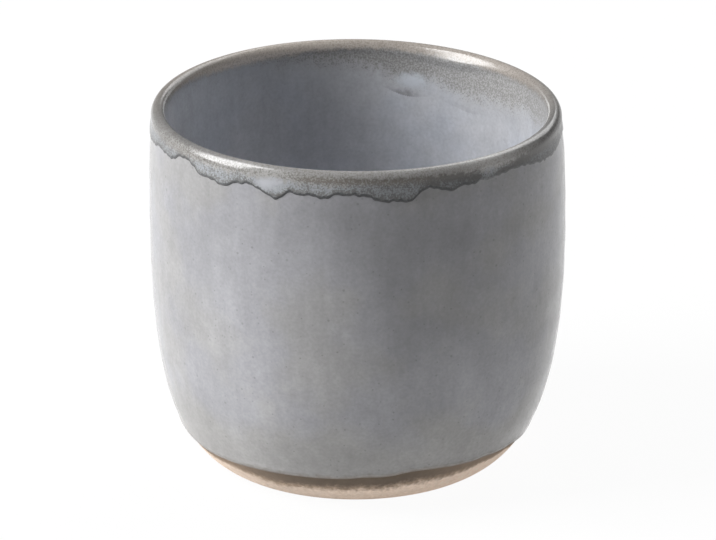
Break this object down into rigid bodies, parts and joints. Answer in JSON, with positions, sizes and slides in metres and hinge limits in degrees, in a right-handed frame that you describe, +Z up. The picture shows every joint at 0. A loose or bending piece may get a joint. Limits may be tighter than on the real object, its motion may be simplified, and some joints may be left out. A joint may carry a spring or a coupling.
{
  "type": "sake cup",
  "caption": "Small round stoneware sake cup with a rounded belly, a soft lip, a bare turned foot and an uneven second glaze run over the rim.",
  "frame": {"origin": "centre of the foot ring, on the surface that the cup stands on", "axes": "+Z up through the mouth; the side that the picture shows faces -Y"},
  "size_m": [0.066, 0.066, 0.058],
  "materials": {
    "clay": "bare fired stoneware, matte and slightly sandy, toasted brown against the glaze",
    "liner_glaze": "satin pale blue-grey glaze, clouded, with fine dark specks",
    "wall_glaze": "satin mid-grey glaze with bluish and warm clouds, specks and pinholes",
    "rim_glaze": "glossy brown-grey speckled second glaze, darker along the line where it has run"
  },
  "bodies": {
    "root": {"clay_body": "clay", "inner_glaze": "liner_glaze", "outer_glaze": "wall_glaze", "rim_glaze": "rim_glaze"}
  },
  "joints": []
}
